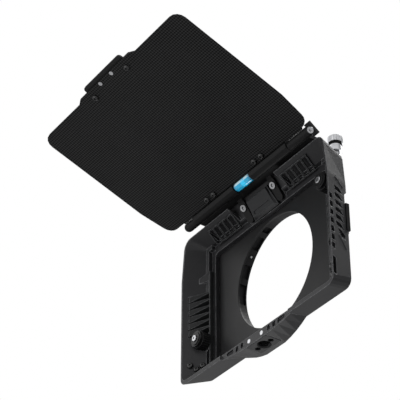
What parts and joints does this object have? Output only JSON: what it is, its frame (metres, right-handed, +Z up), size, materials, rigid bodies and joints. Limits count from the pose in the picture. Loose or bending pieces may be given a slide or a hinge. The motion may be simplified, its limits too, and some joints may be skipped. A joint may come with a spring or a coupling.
{
  "type": "matte box",
  "caption": "Clamp-on matte box: louvred hood with a round lens opening, a filter recess with retaining knobs, a threaded support pad and a carbon top flag on a friction hinge.",
  "frame": {"origin": "the lens axis at the front face of the back plate", "axes": "+Z up, +Y along the lens axis from the scene towards the camera, +X to the right of someone who looks into the mouth along +Y"},
  "size_m": [0.19, 0.1742, 0.1912],
  "materials": {
    "black_shell": "matt black moulded composite with a fine grain",
    "black_plate": "black anodised aluminium, fine blasted grain",
    "black_screw": "black oxide steel",
    "carbon": "woven carbon sheet with a satin resin face",
    "silver": "bright machined metal",
    "rubber": "matt black rubber",
    "cyan": "clear cyan acrylic, polished"
  },
  "bodies": {
    "housing": {"hood": "black_shell", "back_plate": "black_plate", "lens_ring": "black_plate", "ring_screw_1": "black_screw", "ring_screw_2": "black_screw", "ring_screw_3": "black_screw", "ring_screw_4": "black_screw", "mount_pad": "black_plate", "lip_magnet_1": "silver", "lip_magnet_2": "silver", "latch_screw": "black_screw", "side_louvre_left": "black_shell", "side_louvre_right": "black_shell", "top_louvre_left": "black_shell", "top_louvre_right": "black_shell", "corner_screw_left_1": "black_screw", "corner_screw_left_2": "black_screw", "corner_screw_left_3": "black_screw", "corner_screw_right_1": "black_screw", "corner_screw_right_2": "black_screw", "corner_screw_right_3": "black_screw", "flag_bracket": "black_plate", "bracket_cover": "black_plate", "bracket_screw_1": "silver", "bracket_screw_2": "silver", "barrel_cap_left": "black_plate", "barrel_cap_right": "black_plate", "hinge_pin_left": "silver", "hinge_pin_right": "silver"},
    "flag": {"flag_bar": "black_plate", "level_vial": "cyan", "flag_sheet": "carbon", "flag_screw_1": "black_screw", "flag_screw_2": "black_screw", "flag_screw_3": "black_screw", "flag_screw_4": "black_screw", "pull_tab": "black_shell", "tab_screw_1": "black_screw", "tab_screw_2": "black_screw", "tab_magnet_1": "silver", "tab_magnet_2": "silver"},
    "left_knob": {"retaining_knob_left": "black_plate", "knob_cap_left": "silver"},
    "right_knob": {"retaining_knob_right": "black_plate", "knob_cap_right": "silver"},
    "plate_lock": {"lock_knob": "silver", "lock_ring": "rubber"},
    "latch": {"side_latch": "black_plate"},
    "hinge_tensioner": {"tension_screw": "silver"},
    "plunger": {"detent_plunger": "silver"}
  },
  "joints": [
    {"name": "flag_hinge", "type": "hinge", "parent": "housing", "child": "flag", "pos_m": [0, -0.0295, 0.0685], "axis": [1, 0, 0], "range_deg": [-70, 112]},
    {"name": "left_knob_turn", "type": "hinge", "parent": "housing", "child": "left_knob", "pos_m": [-0.0801, -0.012, -0.0299], "axis": [0, -1, 0], "range_deg": [-540, 0]},
    {"name": "right_knob_turn", "type": "hinge", "parent": "housing", "child": "right_knob", "pos_m": [0.0801, -0.012, 0.0299], "axis": [0, -1, 0], "range_deg": [-540, 0]},
    {"name": "plate_lock_turn", "type": "hinge", "parent": "housing", "child": "plate_lock", "pos_m": [0.0767, 0.003, 0.07], "axis": [0, 0, 1], "range_deg": [0, 720]},
    {"name": "latch_slide", "type": "slide", "parent": "housing", "child": "latch", "axis": [0, 0, 1], "range_m": [0, 0.01]},
    {"name": "tension_screw_turn", "type": "hinge", "parent": "housing", "child": "hinge_tensioner", "pos_m": [0.0899, -0.0295, 0.0685], "axis": [0, -0.6004, -0.7997], "range_deg": [-180, 180]},
    {"name": "plunger_slide", "type": "slide", "parent": "housing", "child": "plunger", "axis": [-0.7431, 0, 0.6691], "range_m": [0, 0.0008], "stiffness_N_per_m": 400, "springref_m": -0.001}
  ]
}
